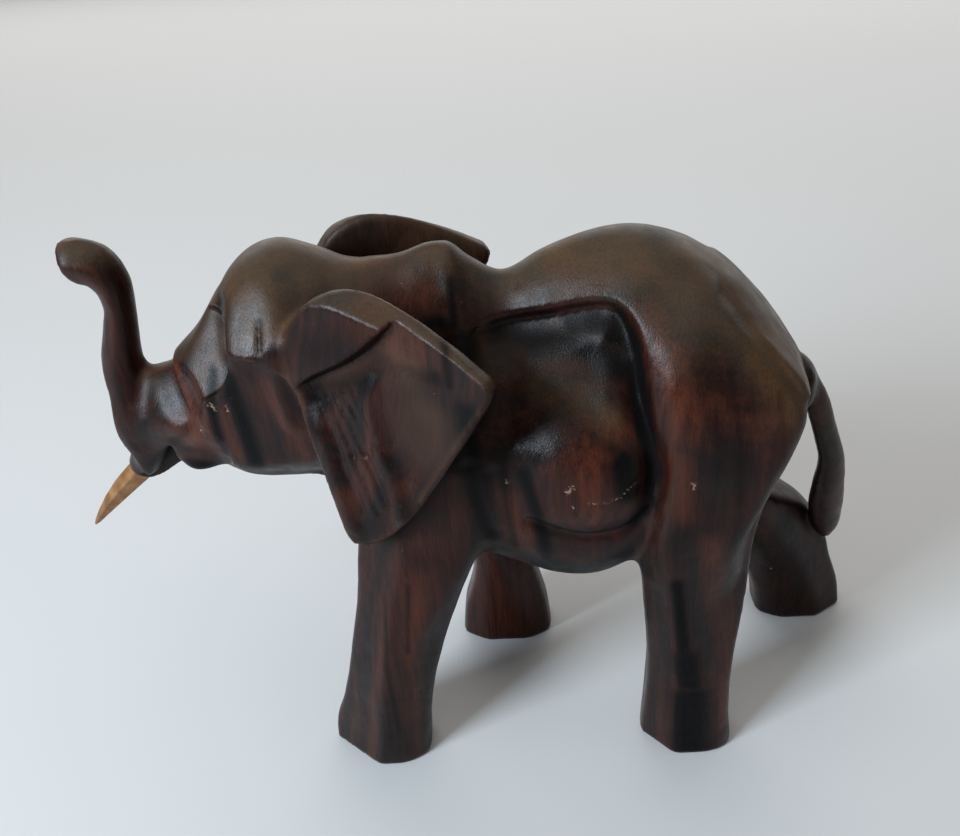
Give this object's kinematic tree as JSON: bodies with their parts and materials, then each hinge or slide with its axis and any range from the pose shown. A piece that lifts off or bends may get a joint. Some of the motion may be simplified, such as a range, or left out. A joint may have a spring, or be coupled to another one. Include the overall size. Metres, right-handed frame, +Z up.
{
  "type": "carved elephant figurine",
  "caption": "Striding elephant carved from one block of dark hardwood, trunk raised and curled forward, fan-shaped ears, with a pale tusk glued into a socket beside the mouth.",
  "frame": {"origin": "middle of the bounding box on the surface that the feet stand on", "axes": "-X the way the head faces, -Y the elephant's left side, +Z up"},
  "size_m": [0.1966, 0.0696, 0.1305],
  "materials": {
    "dark_wood": "satin, hand rubbed",
    "tusk_wood": "satin"
  },
  "bodies": {
    "root": {"carved_body": "dark_wood", "tusk_right": "tusk_wood"}
  },
  "joints": []
}
